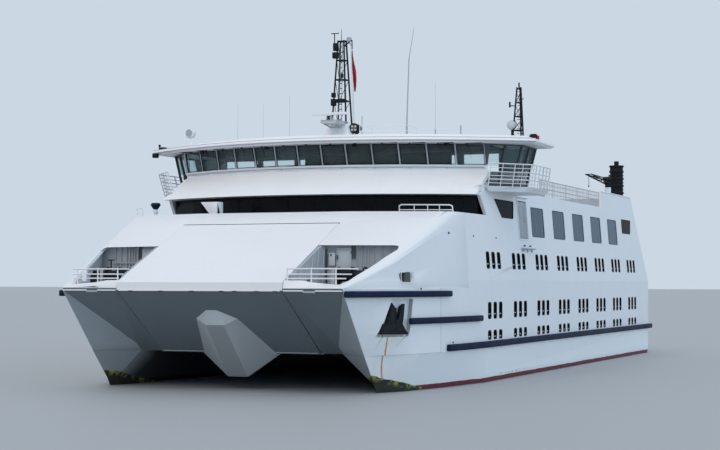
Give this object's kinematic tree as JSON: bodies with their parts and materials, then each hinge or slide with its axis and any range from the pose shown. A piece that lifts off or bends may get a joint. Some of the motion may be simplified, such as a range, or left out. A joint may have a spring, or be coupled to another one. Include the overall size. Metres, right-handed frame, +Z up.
{
  "type": "catamaran car ferry at 1:2 scale",
  "caption": "Twin-hulled car ferry, a half-size scale model, with a lifting bow visor, mooring bays, wide bridge with wings, stern ramp and waterjets.",
  "frame": {"origin": "on the centreline amidships at the design waterline", "axes": "+Z up, bow towards -Y, +X towards the port side"},
  "size_m": [13.5, 32.05, 12.3614],
  "materials": {
    "white_paint": "satin",
    "grey_paint": "satin",
    "dark_paint": "satin",
    "navy_fender": "matte",
    "navy_paint": "satin",
    "dark_glass": "gloss",
    "red_underwater_paint": "matte",
    "bare_steel": "brushed",
    "red_cloth": "matte"
  },
  "bodies": {
    "ship": {"bow_shell": "white_paint", "brow": "white_paint", "wheelhouse": "white_paint", "wheelhouse_roof": "white_paint", "transom": "white_paint", "aft_wall": "white_paint", "crane_post": "white_paint", "bow_block_port": "white_paint", "bow_block_starboard": "white_paint", "side_shell_port": "white_paint", "side_shell_starboard": "white_paint", "upper_side_port": "white_paint", "upper_side_starboard": "white_paint", "bow_rail_port": "white_paint", "bow_rail_starboard": "white_paint", "wing_platform_port": "white_paint", "wing_platform_starboard": "white_paint", "top_rail_port": "white_paint", "top_rail_starboard": "white_paint", "cross_deck": "grey_paint", "passenger_deck": "grey_paint", "sun_deck": "grey_paint", "mooring_bay_port": "grey_paint", "mooring_bay_starboard": "grey_paint", "main_mast": "dark_paint", "aft_mast": "dark_paint", "stack": "dark_paint", "anchor_port": "dark_paint", "anchor_starboard": "dark_paint", "rub_rail_upper_port": "navy_fender", "rub_rail_upper_starboard": "navy_fender", "rub_rail_middle_port": "navy_fender", "rub_rail_middle_starboard": "navy_fender", "rub_rail_lower_port": "navy_fender", "rub_rail_lower_starboard": "navy_fender", "bow_vent": "navy_paint", "verandah_glazing": "dark_glass", "wheelhouse_glass": "dark_glass", "side_glass_port": "dark_glass", "side_glass_starboard": "dark_glass", "hull_port": "red_underwater_paint", "hull_starboard": "red_underwater_paint", "flag": "red_cloth"},
    "bow_visor": {"bow_visor": "white_paint"},
    "stern_ramp": {"stern_ramp": "grey_paint"},
    "side_door_port": {"side_door_port": "grey_paint"},
    "side_door_starboard": {"side_door_starboard": "grey_paint"},
    "winch_port": {"winch_drum_port": "dark_paint"},
    "winch_starboard": {"winch_drum_starboard": "dark_paint"},
    "radar": {"radar_scanner": "white_paint"},
    "impeller_port": {"jet_impeller_port": "bare_steel"},
    "impeller_starboard": {"jet_impeller_starboard": "bare_steel"},
    "nozzle_port": {"jet_nozzle_port": "bare_steel"},
    "nozzle_starboard": {"jet_nozzle_starboard": "bare_steel"},
    "crane": {"crane_boom": "dark_paint"},
    "searchlight": {"searchlight": "white_paint"}
  },
  "joints": [
    {"name": "visor_lift", "type": "hinge", "parent": "ship", "child": "bow_visor", "pos_m": [0, -12.37, 4.68], "axis": [-1, 0, 0], "range_deg": [0, 60]},
    {"name": "ramp_lower", "type": "hinge", "parent": "ship", "child": "stern_ramp", "pos_m": [0, 15.1, 1.5], "axis": [-1, 0, 0], "range_deg": [0, 100]},
    {"name": "side_door_port_swing", "type": "hinge", "parent": "ship", "child": "side_door_port", "pos_m": [5.4126, -4.185, 5.1], "axis": [0.0785, 0, -0.9969], "range_deg": [0, 90]},
    {"name": "side_door_starboard_swing", "type": "hinge", "parent": "ship", "child": "side_door_starboard", "pos_m": [-5.4126, -4.185, 5.1], "axis": [0.0785, 0, 0.9969], "range_deg": [0, 90]},
    {"name": "winch_port_turn", "type": "hinge", "parent": "ship", "child": "winch_port", "pos_m": [3.6625, -14.1, 3.225], "axis": [1, 0, 0], "continuous": true},
    {"name": "winch_starboard_turn", "type": "hinge", "parent": "ship", "child": "winch_starboard", "pos_m": [-3.6625, -14.1, 3.225], "axis": [1, 0, 0], "continuous": true},
    {"name": "radar_turn", "type": "hinge", "parent": "ship", "child": "radar", "pos_m": [0.215, -7.7, 8.375], "axis": [0, 0, 1], "continuous": true},
    {"name": "impeller_port_turn", "type": "hinge", "parent": "ship", "child": "impeller_port", "pos_m": [4.45, 14.75, -0.425], "axis": [0, 1, 0], "continuous": true},
    {"name": "impeller_starboard_turn", "type": "hinge", "parent": "ship", "child": "impeller_starboard", "pos_m": [-4.45, 14.75, -0.425], "axis": [0, 1, 0], "continuous": true},
    {"name": "nozzle_port_steer", "type": "hinge", "parent": "ship", "child": "nozzle_port", "pos_m": [4.45, 15.325, -0.425], "axis": [0, 0, 1], "range_deg": [-28, 28]},
    {"name": "nozzle_starboard_steer", "type": "hinge", "parent": "ship", "child": "nozzle_starboard", "pos_m": [-4.45, 15.325, -0.425], "axis": [0, 0, 1], "range_deg": [-28, 28]},
    {"name": "crane_slew", "type": "hinge", "parent": "ship", "child": "crane", "pos_m": [4.8, 11, 7.05], "axis": [0, 0, 1], "range_deg": [-150, 150]},
    {"name": "searchlight_turn", "type": "hinge", "parent": "ship", "child": "searchlight", "pos_m": [-4.85, -7.55, 7.85], "axis": [0, 0, 1], "range_deg": [-170, 170]}
  ]
}
